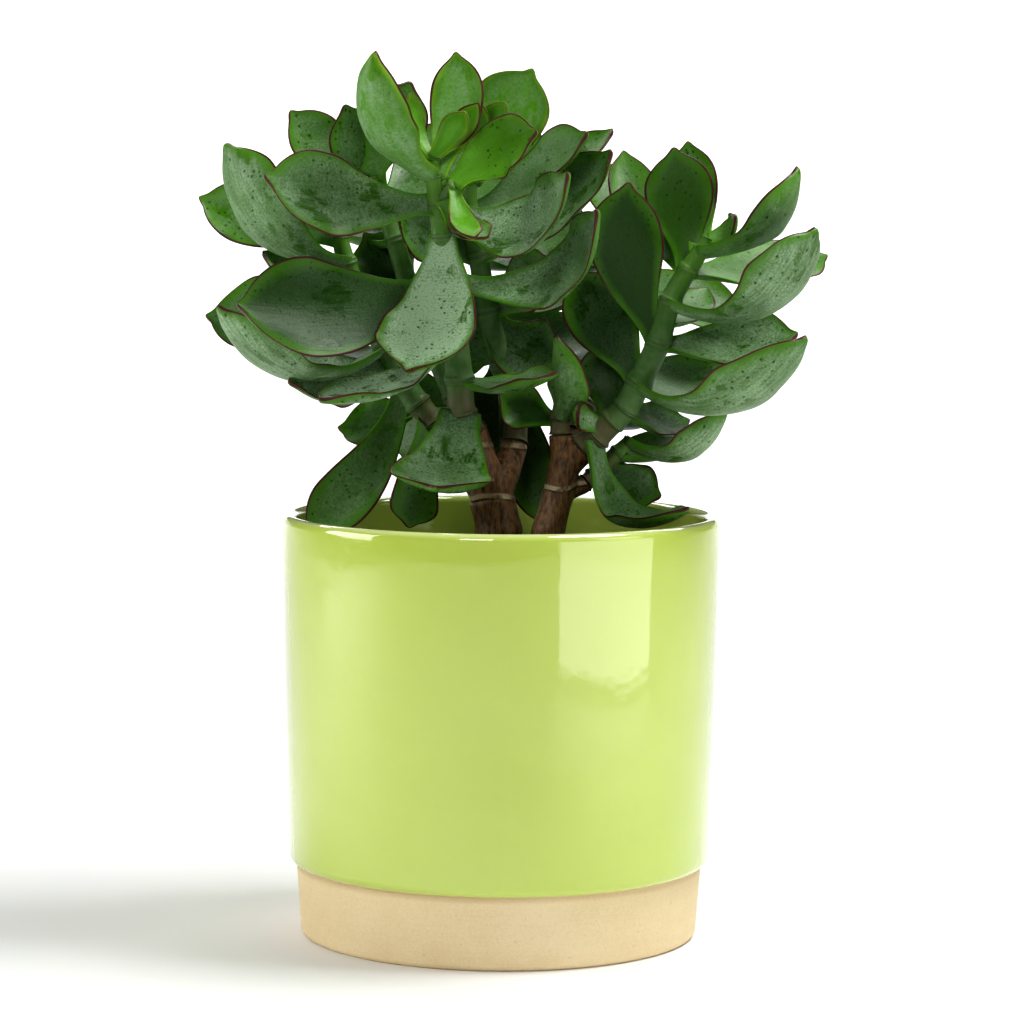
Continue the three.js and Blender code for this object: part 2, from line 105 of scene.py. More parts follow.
STUDIO_GREY = (0.05, 0.05, 0.05)
studio = bpy.data.worlds.new("dim studio")
studio.use_nodes = True
bpy.context.scene.world = studio
studio.node_tree.nodes["Background"].inputs["Color"].default_value = (*STUDIO_GREY, 1)


# Floor. A roll of plain white paper that curves up behind the pot. Its front edge lies close to
# the pot on a dark table, and the glaze mirrors both: the table is the darker arch on its front.
class Wire:
    """A socket of a material's nodes, on which Python's own signs put Math nodes."""

    def __init__(self, socket):
        self.socket = socket

    def node(self, kind, settings=None, sockets=None, out=0):
        """Adds a node, puts in its settings and then its sockets, and gives one output."""
        made = self.socket.id_data.nodes.new("ShaderNode" + kind)
        for key, value in (settings or {}).items():
            if key == "stops":
                while len(made.color_ramp.elements) < len(value):
                    made.color_ramp.elements.new(1)
                for stop, (place, colour) in zip(made.color_ramp.elements, value):
                    stop.position = place
                    stop.color = (*colour, 1)
            else:
                setattr(made, key, value)
        for key, value in (sockets or {}).items():
            self.feed(made.inputs[key], value)
        return Wire(made.outputs[out])

    def feed(self, socket, value):
        if isinstance(value, Wire):
            self.socket.id_data.links.new(value.socket, socket)
        elif isinstance(value, tuple) and len(value) == 3 and socket.type == "RGBA":
            socket.default_value = (*value, 1)
        else:
            socket.default_value = value

    def maths(self, operation, *values):
        return self.node("Math", {"operation": operation}, dict(enumerate(values)))

    def __add__(self, other):
        return self.maths("ADD", self, other)

    def __mul__(self, other):
        return self.maths("MULTIPLY", self, other)

    def __sub__(self, other):
        return self.maths("SUBTRACT", self, other)

    def __rsub__(self, other):
        return self.maths("SUBTRACT", other, self)

    def __truediv__(self, other):
        return self.maths("DIVIDE", self, other)

    def __pow__(self, other):
        return self.maths("POWER", self, other)

    __radd__ = __add__
    __rmul__ = __mul__

    def larger(self, other):
        return self.maths("MAXIMUM", self, other)

    def smaller(self, other):
        return self.maths("MINIMUM", self, other)

    def step(self, start, end):
        """Goes smoothly from 0 at start to 1 at end; start may be the larger."""
        if start > end:
            return 1 - self.step(end, start)
        return self.node(
            "MapRange",
            {"interpolation_type": "SMOOTHSTEP"},
            {"Value": self, "From Min": start, "From Max": end},
        )

    def mixed(self, none, full):
        """The colour none where this is 0, and full where it is 1."""
        return self.node("Mix", {"data_type": "RGBA"}, {"Factor": self, 6: none, 7: full}, out=2)

    def noise(self, scale, detail=2, roughness=0.5):
        """Soft noise from 0 to 1 over these coordinates, so many waves to a metre."""
        return self.node(
            "TexNoise",
            None,
            {"Vector": self, "Scale": scale, "Detail": detail, "Roughness": roughness},
        )

    def stretched(self, x, y, z):
        return self.node("Mapping", None, {"Vector": self, "Scale": (x, y, z)})


def material(name):
    """A new material: itself, its coordinates and a way to set its finish."""
    made = bpy.data.materials.new(name)
    made.use_nodes = True
    tree = made.node_tree
    shader = tree.nodes["Principled BSDF"]
    place = Wire(tree.nodes.new("ShaderNodeTexCoord").outputs["Object"])

    def finish(**looks):
        for key, value in looks.items():
            place.feed(shader.inputs[key.replace("_", " ")], value)

    return made, place, finish


def attribute(place, name):
    """The three channels of a colour or vector kept on the mesh."""
    vector = place.node("Attribute", {"attribute_name": name}, out=1)
    return [vector.node("SeparateXYZ", None, {0: vector}, out=i) for i in range(3)]


def bump(height, distance):
    """A relief whose height of 1 stands so many metres out of the surface."""
    return height.node("Bump", None, {"Height": height, "Distance": distance})


FLOOR_SIZE = 4.4
PAPER_FRONT = -0.19
SWEEP_RADIUS = 0.5
SWEEP_STEPS = 16
SWEEP_HEIGHT = 0.15
PAPER_WHITE = (0.88, 0.88, 0.88)
PAPER_WHITER = (0.92, 0.92, 0.92)
TABLE_GREY = (0.09, 0.09, 0.09)
TABLE_PALE = (0.12, 0.12, 0.12)
PAPER_LIFT = 1 * MM

bpy.ops.object.select_all(action="DESELECT")
bpy.ops.mesh.primitive_plane_add(size=FLOOR_SIZE)
floor = bpy.context.object
floor.name = "paper_sweep"
bpy.ops.object.mode_set(mode="EDIT")
bpy.ops.mesh.select_all(action="DESELECT")
shell = bmesh.from_edit_mesh(floor.data)
for edge in shell.edges:
    edge.select = all(v.co.y < 0 for v in edge.verts)
bmesh.update_edit_mesh(floor.data)
bpy.ops.transform.translate(value=(0, FLOOR_SIZE / 2 + PAPER_FRONT, 0))
bpy.ops.mesh.select_all(action="DESELECT")
for edge in shell.edges:
    edge.select = all(v.co.y > PAPER_FRONT / 2 for v in edge.verts)
bmesh.update_edit_mesh(floor.data)
for k in range(SWEEP_STEPS):
    turn = (k + 0.5) / SWEEP_STEPS * math.pi / 2
    reach = SWEEP_RADIUS * math.pi / 2 / SWEEP_STEPS
    step = (0, reach * math.cos(turn), reach * math.sin(turn))
    bpy.ops.mesh.extrude_edges_move(TRANSFORM_OT_translate={"value": step})
bpy.ops.mesh.extrude_edges_move(TRANSFORM_OT_translate={"value": (0, 0, SWEEP_HEIGHT)})
bpy.ops.object.mode_set(mode="OBJECT")
bpy.ops.object.shade_smooth()
paint, place, finish = material("white paper")
finish(
    Base_Color=place.noise(4).mixed(PAPER_WHITE, PAPER_WHITER),
    Roughness=0.7,
    Normal=bump(place.noise(900, 3), 0.05 * MM),
)
floor.data.materials.append(paint)
floor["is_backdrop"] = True

bpy.ops.object.select_all(action="DESELECT")
bpy.ops.mesh.primitive_plane_add(size=FLOOR_SIZE, location=(0, 0, -PAPER_LIFT))
table = bpy.context.object
table.name = "table_top"
bpy.ops.object.transform_apply()
paint, place, finish = material("grey table")
finish(
    Base_Color=place.noise(6, 4).mixed(TABLE_GREY, TABLE_PALE),
    Roughness=0.6,
    Normal=bump(place.noise(700, 3), 0.05 * MM),
)
table.data.materials.append(paint)
table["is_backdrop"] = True


# Pot of thrown stoneware. Its foot is left bare, so the clay shows there as a sandy band
# with fine throwing lines; the rest is one fired piece under the glaze.
POT_HEIGHT = 134.6 * MM
RIM_RADIUS = 70 * MM
WALL_FOOT_RADIUS = 67.1 * MM
GLAZE_EDGE_HEIGHT = 23.2 * MM
GLAZE_EDGE_ROUND = 3 * MM
GLAZE_THICKNESS = 0.7 * MM
GLAZE_LIP_ANGLE = -60
WALL_THICKNESS = 4.6 * MM
FLOOR_THICKNESS = 8 * MM
FOOT_TOP_RADIUS = 64.8 * MM
FOOT_BOTTOM_RADIUS = 63.3 * MM
FOOT_ROUND = 2.2 * MM
SEAT = 0.3 * MM
POT_SIDES = 192
EDGE_LINE = (2.4 * MM, 0.5 * MM)
CLAY_RELIEF = 0.12 * MM
CLAY = (0.76, 0.6, 0.34)
CLAY_PALE = (0.84, 0.7, 0.45)
CLAY_DARK = (0.5, 0.34, 0.16)


def wall_radius(height):
    """Outer radius of the glazed wall, which opens a little towards the rim."""
    share = (height - GLAZE_EDGE_HEIGHT) / (POT_HEIGHT - GLAZE_EDGE_HEIGHT)
    return WALL_FOOT_RADIUS + (RIM_RADIUS - WALL_FOOT_RADIUS) * share


def arc(radius, height, size, start, end, steps):
    """Part of a circle as (radius, height) points, between two angles in degrees."""
    angles = np.radians(np.linspace(start, end, steps + 1))
    return [(radius + size * math.cos(a), height + size * math.sin(a)) for a in angles]


def line(start, end, steps):
    """Points between two (radius, height) points, without the first."""
    return [tuple(np.array(start) + (np.array(end) - start) * k / steps) for k in range(1, steps + 1)]


def glazed_side(depth):
    """The glazed surface from its lip over the rim to the floor, or one so far under it."""
    shoulder = GLAZE_EDGE_HEIGHT + GLAZE_EDGE_ROUND
    rim = POT_HEIGHT - WALL_THICKNESS / 2
    lip = arc(wall_radius(shoulder) - GLAZE_EDGE_ROUND, shoulder, GLAZE_EDGE_ROUND - depth,
              GLAZE_LIP_ANGLE, 0, 5)
    edge = arc(wall_radius(rim) - WALL_THICKNESS / 2, rim, WALL_THICKNESS / 2 - depth, 0, 180, 14)
    floor_height = FLOOR_THICKNESS + GLAZE_THICKNESS - depth
    corner = (wall_radius(FLOOR_THICKNESS) - WALL_THICKNESS + depth, floor_height)
    return [*lip, *line(lip[-1], edge[0], 12), *edge[1:], *line(edge[-1], corner, 6)]


def turned(name, profile):
    """A piece turned on a wheel: a round plate drawn up ring by ring through a profile of
    (radius, height) points, then closed in its middle."""
    bpy.ops.object.select_all(action="DESELECT")
    radius, height = profile[0]
    bpy.ops.mesh.primitive_circle_add(
        vertices=POT_SIDES, radius=radius, fill_type="TRIFAN", location=(0, 0, height)
    )
    piece = bpy.context.object
    piece.name = name
    bpy.ops.object.transform_apply()
    bpy.ops.object.mode_set(mode="EDIT")
    shell = bmesh.from_edit_mesh(piece.data)
    bpy.ops.mesh.select_all(action="DESELECT")
    for edge in shell.edges:
        edge.select = edge.is_boundary
    bmesh.update_edit_mesh(piece.data)
    for (radius, height), (wider, higher) in zip(profile, profile[1:]):
        bpy.ops.mesh.extrude_edges_move(TRANSFORM_OT_translate={"value": (0, 0, higher - height)})
        grow = wider / radius
        bpy.ops.transform.resize(value=(grow, grow, 1), center_override=(0, 0, higher))
    bpy.ops.mesh.extrude_edges_move(TRANSFORM_OT_translate={"value": (0, 0, 0)})
    bpy.ops.mesh.merge(type="CENTER")
    bpy.ops.mesh.select_all(action="SELECT")
    bpy.ops.mesh.normals_make_consistent(inside=False)
    bpy.ops.object.mode_set(mode="OBJECT")
    bpy.ops.object.shade_smooth_by_angle(angle=math.radians(40))
    return piece


foot = arc(FOOT_BOTTOM_RADIUS - FOOT_ROUND, FOOT_ROUND, FOOT_ROUND, -90, 0, 5)
under_glaze = [(FOOT_TOP_RADIUS, GLAZE_EDGE_HEIGHT), *glazed_side(GLAZE_THICKNESS)]
clay_pot = turned("clay_pot", [*foot, *line(foot[-1], under_glaze[0], 6), *under_glaze[1:]])
paint, place, finish = material("bare clay")
height = place.node("SeparateXYZ", None, {0: place}, out=2)
throwing = place.stretched(1, 1, 30).noise(60, 3)
grains = place.noise(1500, 2)
mottle = place.noise(45, 4, 0.6)
specks = place.noise(900, 1).step(0.68, 0.78)
# Painted shadow: the bare clay is darkened in a soft band just under the glaze's rounded edge, where the
# glaze lip shades the foot.
edge_line = height.step(GLAZE_EDGE_HEIGHT - EDGE_LINE[0], GLAZE_EDGE_HEIGHT - EDGE_LINE[1])
clay = (throwing * 0.15 + mottle * 0.45 + grains * 0.4).step(0.3, 0.7).mixed(CLAY, CLAY_PALE)
clay = (specks * 0.3 + edge_line * 0.45).mixed(clay, CLAY_DARK)
finish(
    Base_Color=clay,
    Roughness=grains * 0.15 + 0.72,
    Normal=bump(throwing * 0.3 + grains * 0.7, CLAY_RELIEF),
)
clay_pot.data.materials.append(paint)
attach(clay_pot, "root")
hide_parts("pot_body")


# Glaze. One glossy lime coat over the rim and down both walls, thick enough to end in a
# rounded edge above the foot. It runs thin and pale on the rim, and tiny pits speckle it.
LIME = (0.58, 0.71, 0.14)
LIME_DEEP = (0.53, 0.665, 0.11)
LIME_THIN = (0.74, 0.8, 0.42)
RIM_PALE = 1.6 * MM
LIP_PALE = (1.2 * MM, 0.5 * MM)
GLAZE_RELIEF = 0.5 * MM

inside_face = glazed_side(GLAZE_THICKNESS - SEAT)[::-1]
glaze_coat = turned("glaze_coat", [*inside_face, *glazed_side(0)])
paint, place, finish = material("lime glaze")
height = place.node("SeparateXYZ", None, {0: place}, out=2)
drift = place.noise(14, 3)
pits = place.noise(1700, 1).step(0.62, 0.8)
waves = place.noise(28, 2)
dents = place.noise(95, 2)
peel = place.noise(420, 2)
thin_rim = height.step(POT_HEIGHT - RIM_PALE, POT_HEIGHT)
thin_lip = height.step(GLAZE_EDGE_HEIGHT + LIP_PALE[0], GLAZE_EDGE_HEIGHT - LIP_PALE[1])
lime = drift.step(0.3, 0.7).mixed(LIME, LIME_DEEP)
lime = (thin_rim * 0.7 + thin_lip * 0.35).mixed(lime, LIME_THIN)
finish(
    Base_Color=(pits * 0.3).mixed(lime, LIME_DEEP),
    Roughness=0.06 + pits * 0.12,
    IOR=1.56,
    Coat_Weight=1.0,
    Coat_Roughness=0.03,
    Normal=bump(waves + dents * 0.22 + peel * 0.03 - pits * 0.03, GLAZE_RELIEF),
)
glaze_coat.data.materials.append(paint)
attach(glaze_coat, "root")
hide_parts("pot_glaze")


# Soil. Dark potting compost, mounded a little and pressed down by hand: a crumbly bed
# with loose lumps of peat and bark on it, and a few pale grains of perlite.
SOIL_EDGE_HEIGHT = 115 * MM
SOIL_MOUND = 3 * MM
MOUND_SHOULDER = (0.6, 0.8)
SOIL_RINGS = 44
SOIL_ROUGHNESS = 3.5 * MM
SOIL_CRUMB = 5 * MM
SOIL_LUMPS = 520
SOIL_GRAINS = 26
LUMPS_WITHIN = 0.97
SMALLEST_LUMP = 0.7
SOIL_RELIEF = 0.8 * MM
PEAT = (0.022, 0.013, 0.008)
PEAT_DRY = (0.09, 0.055, 0.032)
PERLITE = (0.62, 0.6, 0.55)


def soil_height(radius):
    """Height of the mound at a distance from the pot's axis."""
    return float(np.interp(
        radius,
        [0, soil_edge * MOUND_SHOULDER[0], soil_edge],
        [SOIL_EDGE_HEIGHT + SOIL_MOUND, SOIL_EDGE_HEIGHT + SOIL_MOUND * MOUND_SHOULDER[1],
         SOIL_EDGE_HEIGHT],
    ))


soil_foot = (wall_radius(FLOOR_THICKNESS) - WALL_THICKNESS - SEAT, FLOOR_THICKNESS + GLAZE_THICKNESS + SEAT)
soil_edge = wall_radius(SOIL_EDGE_HEIGHT) - WALL_THICKNESS - SEAT
radii = [soil_edge * k / SOIL_RINGS for k in range(SOIL_RINGS, 0, -1)]
rings = [(radius, soil_height(radius)) for radius in radii]
soil = turned("soil_bed", [soil_foot, *line(soil_foot, rings[0], 3), *rings[1:]])
crumb = bpy.data.textures.new("crumb", "CLOUDS")
crumb.noise_scale = SOIL_CRUMB
crumb.noise_depth = 3
bed = soil.vertex_groups.new(name="bed")
bed.add([v.index for v in soil.data.vertices if v.co.z > SOIL_EDGE_HEIGHT + 0.01 * MM], 1, "ADD")
roughen = soil.modifiers.new("roughen", "DISPLACE")
roughen.texture = crumb
roughen.strength = SOIL_ROUGHNESS
roughen.mid_level = 0.65
roughen.vertex_group = "bed"
bpy.ops.object.modifier_apply(modifier="roughen")

chance = np.random.default_rng(7)
bpy.ops.object.select_all(action="DESELECT")
bpy.ops.mesh.primitive_ico_sphere_add(subdivisions=1, radius=1)
lump = bpy.context.object
lumps = []
for k in range(SOIL_LUMPS):
    distance = soil_edge * LUMPS_WITHIN * math.sqrt(chance.random())
    turn = chance.random() * 2 * math.pi
    grain = k < SOIL_GRAINS
    larger = 0.5 * chance.random() if grain else 1.9 * chance.random() ** 2
    size = (SMALLEST_LUMP + larger) * MM
    x, y = distance * math.cos(turn), distance * math.sin(turn)
    one = lump.copy()
    one.data = lump.data.copy()
    bpy.context.scene.collection.objects.link(one)
    points = np.array([v.co[:] for v in one.data.vertices])
    points *= 1 + 0.35 * (chance.random(points.shape) - 0.5)
    flat = np.diag([1, 0.6 + 0.4 * chance.random(), 0.5 + 0.3 * chance.random()])
    spin = Matrix.Rotation(chance.random() * 6.3, 3, "Z") @ Matrix.Rotation(chance.random(), 3, "X")
    points = (points @ flat @ np.array(spin).T) * size + (x, y, soil_height(distance) + size * 0.1)
    one.data.vertices.foreach_set("co", points.ravel())
    pale = one.data.attributes.new("pale", "FLOAT", "POINT")
    pale.data.foreach_set("value", np.full(len(points), float(grain)))
    lumps.append(one)
bpy.data.objects.remove(lump)
bpy.ops.object.select_all(action="DESELECT")
for one in lumps:
    one.select_set(True)
soil.select_set(True)
bpy.context.view_layer.objects.active = soil
bpy.ops.object.join()
paint, place, finish = material("potting soil")
pale = place.node("Attribute", {"attribute_name": "pale"}, out=2)
crumbs = place.noise(700, 4, 0.65)
peat = crumbs.step(0.42, 0.72).mixed(PEAT, PEAT_DRY)
finish(
    Base_Color=pale.mixed(peat, PERLITE),
    Roughness=0.95,
    Normal=bump(crumbs, SOIL_RELIEF),
)
soil.data.materials.append(paint)
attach(soil, "root")
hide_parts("soil")


# Plan of the plant, in millimetres. Two trunks fork just above the rim into eight stems, each
# brown and woody up to its last old joint and green above it. Leaves were placed one to
# three at a joint, not in strict pairs. A limb is a row of joints (x, y, z, radius).
def leaf(start, tip, face, width, dip=2, curl=1, bend=0, cup=24, widest=0.66, blunt=2.4,
         neck=6.2, taper=2.1, thick=2.9, young=0.2, bloom=0.4):
    """One leaf in millimetres: the joint or point that it grows from, its tip and the way its
    face looks; dip sags the midrib, curl lifts the end, bend goes sideways, cup raises the
    margins. A low taper widens it straight from its neck. The two look values say how fresh
    its green is and how much wax is on it; both are also set low on leaves deep inside the
    plant as painted shade, and the wax value is set high on some shaded leaves as painted light."""
    return dict(locals())


# Each leaf's freshness and wax values also hold painted shade on leaves deep inside the plant and painted
# light on some shaded ones.
STEMS = {
    "stem_front": {
        "wood": [(-3, 0, 139, 6.5), (-6, -5, 150, 5.2), (-10, -8, 161, 4.6)],
        "nodes": [(-12.5, -9.5, 167, 4.6), (-13.5, -11, 178, 4.6), (-15, -13, 193, 4.3),
            (-16, -16, 209, 4), (-19, -19, 223, 3.5), (-20.5, -20.5, 233, 3.2),
            (-22, -23, 242, 2.6), (-22, -24, 247, 2)],
        "shoots": [[(-20, -21, 233, 2.2), (-15.5, -26, 239, 1.8)]],
        "leaves": [
            leaf((-13, -12.5, 168), (-20, -50, 146.5), (0, -0.75, 0.65), 33, curl=5, widest=0.88,
                 blunt=4, neck=10, taper=1.3, young=0.12, bloom=0.6),
            leaf(1, (17, -22, 181), (0, -0.2, 1), 22, cup=30, young=0.1, bloom=0.5),
            leaf(2, (-56, -42, 173), (-0.1, -0.16, 0.98), 27, dip=5, cup=22, widest=0.7, blunt=3,
                 young=0.1, bloom=2),
            leaf(3, (-81, -45, 202), (0, -0.9, 0.4), 34, dip=3, bend=-4, widest=0.68, young=0.02,
                 bloom=0.15),
            leaf(3, (29, -42, 231), (-0.4, -0.65, 0.65), 28, dip=9, curl=6, bend=3.5, widest=0.7,
                 young=0.15, bloom=0.6),
            leaf((-19, -20.5, 224), (-29, -48, 182), (-0.25, -0.8, 0.56), 32, curl=4, bend=-2,
                 widest=0.8, blunt=1.6, neck=6, taper=1.2, young=0.2, bloom=1.8),
            leaf(5, (-73, -40, 241), (0, -0.85, 0.5), 29, dip=3, bend=-2, widest=0.68, young=0.15,
                 bloom=0.55),
            leaf(5, (20, -42, 242), (-0.25, -0.7, 0.68), 31, dip=9, curl=5, bend=4.5, young=0.2,
                 bloom=1),
            leaf(6, (-40, -40, 279), (0.5, 0.7, 0.5), 23, dip=5, bend=4.5, cup=40, widest=0.5,
                 blunt=1.9, young=0.9, bloom=0.5),
            leaf((-15.5, -26, 239), (10, -30, 256), (-0.3, -0.75, 0.6), 24, bend=-3.5, widest=0.56,
                 young=0.75, bloom=0.1),
            leaf(6, (-15, -12, 280), (0, -1, 0.1), 17, bend=3, young=0.9, bloom=0.6),
            leaf(7, (-29, -22, 267), (0.5, -0.6, 0.3), 8, neck=3, thick=2, young=0.95, bloom=0.05),
            leaf(7, (-12, -31, 261), (0.2, -0.9, 0.2), 9, neck=3, thick=2, young=0.95, bloom=0.1),
            leaf(7, (-8, -20, 264), (-0.2, -0.9, 0.2), 9, neck=3, thick=2, young=0.9, bloom=0.1),
            leaf((-15.5, -26, 239), (-9, -46, 223), (0.2, -0.7, 0.6), 10, neck=3, thick=2,
                 young=0.9, bloom=0.1),
            leaf((-19, -25, 234), (-5, -42, 223), (0.1, -0.7, 0.7), 13, neck=4, thick=2, young=0.85,
                 bloom=0.4),
        ],
    },
    "stem_left": {
        "wood": [(-3, 0, 139, 6.5), (-10, 4, 149, 5), (-18, 6, 158, 4.4)],
        "nodes": [(-22, 6, 163, 4.3), (-27, 6, 169, 4.3), (-31, 6, 175, 4.2), (-38, 6, 188, 4),
            (-44, 6, 199, 3.7), (-50, 6, 214, 3.3), (-52, 6, 222, 2.8), (-53, 6, 230, 2)],
        "leaves": [
            leaf((-24.5, 4, 165), (-29, -12, 131), (0.3, -0.9, 0.3), 16, dip=-2, widest=0.84,
                 neck=4, young=0.15, bloom=0.15),
            leaf(1, (-53, 20, 160), (0, -0.7, 0.7), 21, young=0.05, bloom=0.2),
            leaf(2, (-62, -6, 129), (0.3, -0.8, 0.5), 19, curl=3, bend=-5, widest=0.74, young=0.25,
                 bloom=0.35),
            leaf(3, (-89, -20, 200), (0.3, 0.3, 0.9), 36, dip=14, young=0.05, bloom=0.75),
            leaf(4, (-96, 22, 196), (0, -0.75, 0.65), 31, young=0.25, bloom=0.4),
            leaf(5, (-88, 0, 251), (0.47, 0.62, 0.6), 34, dip=11, cup=38, young=0.2, bloom=0.6),
            leaf(6, (-98, 20, 234), (0.1, -0.9, 0.4), 23, young=0.35, bloom=0.3),
            leaf((-34.5, 6, 181.5), (-67, -14, 177), (0, -0.8, 0.6), 26, widest=0.7, young=0.1,
                 bloom=0.95),
            leaf((-47, 6, 207), (-77, 12, 217), (0, -0.6, 0.8), 15, young=0.3, bloom=0.6),
        ],
    },
    "stem_back_left": {
        "wood": [(-3, 0, 139, 6), (-5, 7, 148, 4.8), (-9, 13, 160, 4.2)],
        "nodes": [(-15, 15, 171, 4.1), (-23, 17, 188, 3.9), (-30, 18, 205, 3.6),
            (-35, 20, 221, 3.2), (-39, 21, 232, 2.8), (-43, 21, 241, 2)],
        "leaves": [
            leaf(2, (-45, 24, 223), (0.3, -0.9, 0.2), 25, dip=1, young=0, bloom=0.1),
            leaf(4, (-51, 18, 264), (0.2, -0.9, 0.3), 20, young=0.2, bloom=0.3),
            leaf(4, (-69, 24, 262), (0.3, -0.9, 0.3), 19, widest=0.72, young=0.3, bloom=0.4),
            leaf(5, (-30, 8, 271), (0, -1, 0.2), 22, young=0.4, bloom=0.3),
            leaf(3, (-60, 52, 236), (0.3, -0.4, 0.85), 26, dip=5, young=0.15, bloom=0.3),
            leaf(2, (-4, 46, 180), (-0.1, -0.85, 0.5), 27, dip=3, young=0.15, bloom=0.3),
            leaf(1, (-62, 42, 186), (0.2, -0.2, 0.95), 26, dip=5, young=0.1, bloom=0.4),
            leaf(4, (-13, 46, 259), (0, -0.75, 0.6), 24, dip=3, young=0.25, bloom=0.4),
            leaf(0, (-35, 43, 151), (0.2, -0.8, 0.5), 22, dip=3, young=0.1, bloom=0.4),
            leaf(0, (-36, 24, 175), (0.2, -0.8, 0.5), 15, young=0.1, bloom=0.2),
            leaf(1, (-42, 56, 210), (0.2, -0.6, 0.8), 24, dip=4, young=0.15, bloom=0.3),
        ],
    },
    "stem_back": {
        "wood": [(-3, 0, 139, 6), (1, 7, 147, 4.8), (4, 12, 156, 4.2)],
        "nodes": [(4, 15, 166, 4.1), (0, 18, 181, 4), (-5, 19, 198, 3.8), (-8, 18, 216, 3.5),
            (-11, 18, 230, 3.2), (-11, 18, 240, 2.6), (-10, 18, 246, 2)],
        "leaves": [
            leaf(5, (9, 22, 276), (0, -1, 0.2), 26, young=0.95, bloom=0.5),
            leaf(6, (0, 12, 265), (-0.3, -0.9, 0.3), 11, bend=-1, neck=4, thick=2, young=0.95,
                 bloom=0.1),
            leaf(6, (-7, 14, 264), (-0.2, -1, 0.2), 6, neck=3, thick=2, young=0.95, bloom=0.1),
            leaf(4, (26, -4, 255.5), (-0.3, -0.65, 0.7), 25, cup=35, young=0.3, bloom=0.6),
            leaf(4, (35, 26, 257), (-0.4, -0.5, 0.8), 19, young=0.25, bloom=0.55),
            leaf(3, (34, 4, 250), (-0.35, -0.65, 0.65), 25, bend=3, cup=30, young=0.2, bloom=0.55),
            leaf(2, (15, 1, 216), (0, -0.9, 0.45), 22, young=0.1, bloom=0.3),
            leaf(3, (-34, 7, 230), (0.1, -0.9, 0.4), 22, young=0.05, bloom=0.3),
            leaf(2, (20, 12, 184), (0.1, -0.9, 0.4), 24, bend=4, young=0, bloom=0.25),
            leaf(3, (4, 56, 222), (0, -0.65, 0.75), 26, dip=4, young=0.05, bloom=0.3),
            leaf(2, (34, 54, 214), (-0.3, -0.3, 0.9), 28, dip=5, young=0.15, bloom=0.3),
            leaf(4, (6, 58, 262), (-0.1, -0.6, 0.8), 25, dip=4, young=0.3, bloom=0.3),
            leaf(1, (-14, 46, 140), (0.1, -0.9, 0.3), 25, dip=3, young=0.05, bloom=0.2),
            leaf(1, (14, 19, 129), (0, -1, 0.05), 17, dip=3, young=0.1, bloom=0.05),
        ],
    },
    "stem_middle": {
        "wood": [(20, -1, 150, 4.5), (18.5, -1, 160, 3.5)],
        "nodes": [(18.5, -1, 165, 3.3), (19.5, -2, 172, 3), (21, -2, 178, 2.4)],
        "leaves": [
            leaf(0, (17, -12, 192), (0.3, 0.6, 0.3), 15, cup=40, bend=-4, widest=0.45, blunt=1.4,
                 neck=4, young=0.3, bloom=0.4),
            leaf((16, -2, 165), (-1, 4, 172), (0, -0.9, 0.4), 16, neck=4, young=0, bloom=0.05),
        ],
    },
    "stem_right": {
        "wood": [(20, -1, 150, 5), (25.8, -2.4, 156, 4.9)],
        "nodes": [(30, -4, 160, 4.8), (35, -5, 165, 4.5), (39, -6, 169, 4.4), (43, -8, 177, 4.3),
            (49, -10, 190, 4), (52.5, -12, 203, 3.7), (58, -12, 213, 3.3), (62, -12, 219, 2.7),
            (64, -12, 223, 2)],
        "leaves": [
            leaf(4, (38, -26, 240), (-0.1, -0.95, -0.2), 24, bend=-4.5, young=0.03, bloom=0.02),
            leaf(6, (53, -12, 251), (0, -1, 0.2), 22, young=0.2, bloom=0.05),
            leaf(6, (38, 18, 250), (0.2, -0.9, 0.3), 17, bend=-3, young=0.3, bloom=0.2),
            leaf(7, (58, 2, 253), (0, -1, 0.2), 16, young=0.5, bloom=0.3),
            leaf(8, (72, -18, 230), (-0.5, -0.5, 0.5), 10, neck=4, thick=2, young=0.6, bloom=0.3),
            leaf(7, (91.5, -20, 245), (-0.3, 0.5, 0.8), 20, dip=4, curl=5, blunt=1.6, young=0.35,
                 bloom=0.45),
            leaf(6, (104, 16, 217), (0, -0.6, 0.8), 24, young=0.3, bloom=0.3),
            leaf(5, (96, -36, 226), (-0.45, 0.5, 0.7), 32, dip=13, bend=-1.5, cup=30, widest=0.74,
                 blunt=3.2, young=0.15, bloom=0.75),
            leaf(4, (93, -8, 193), (0, -0.6, 0.8), 26, young=0.15, bloom=0.6),
            leaf(3, (93, -42, 193), (-0.3, 0.55, 0.75), 30, dip=13, cup=30, young=0.08, bloom=0.65),
            leaf(2, (60, 10, 164), (0, -0.6, 0.8), 20, young=0.1, bloom=0.6),
            leaf((32, -7, 163), (24, -16, 169), (0, -0.9, 0.4), 9, neck=4, young=0.2, bloom=0.9),
            leaf(1, (31, 4, 190), (-0.3, -0.8, 0.4), 18, young=0, bloom=0.1),
            leaf(3, (23, 6, 212), (-0.3, -0.8, 0.4), 23, young=0, bloom=0.15),
            leaf((29.5, -7.5, 159), (58, -30, 138.5), (0.5, -0.5, 0.7), 24, dip=14, cup=25, neck=7,
                 young=0.25, bloom=0.6),
            leaf((51, -11, 197), (66, 22, 206), (0.1, -0.6, 0.8), 14, young=0.2, bloom=0.6),
        ],
    },
    "stem_back_right": {
        "wood": [(20, -1, 150, 4.6), (22.5, 7, 160, 4.1)],
        "nodes": [(26, 11, 169, 4), (32, 18, 184, 3.9), (36, 24, 200, 3.6), (38, 27, 214, 3.2),
            (39, 29, 224, 2.6), (39, 30, 231, 2)],
        "leaves": [
            leaf(4, (40, 62, 248), (0, -0.6, 0.8), 24, dip=4, young=0.3, bloom=0.4),
            leaf(3, (80, 42, 197), (-0.3, -0.65, 0.7), 26, dip=4, young=0.2, bloom=0.4),
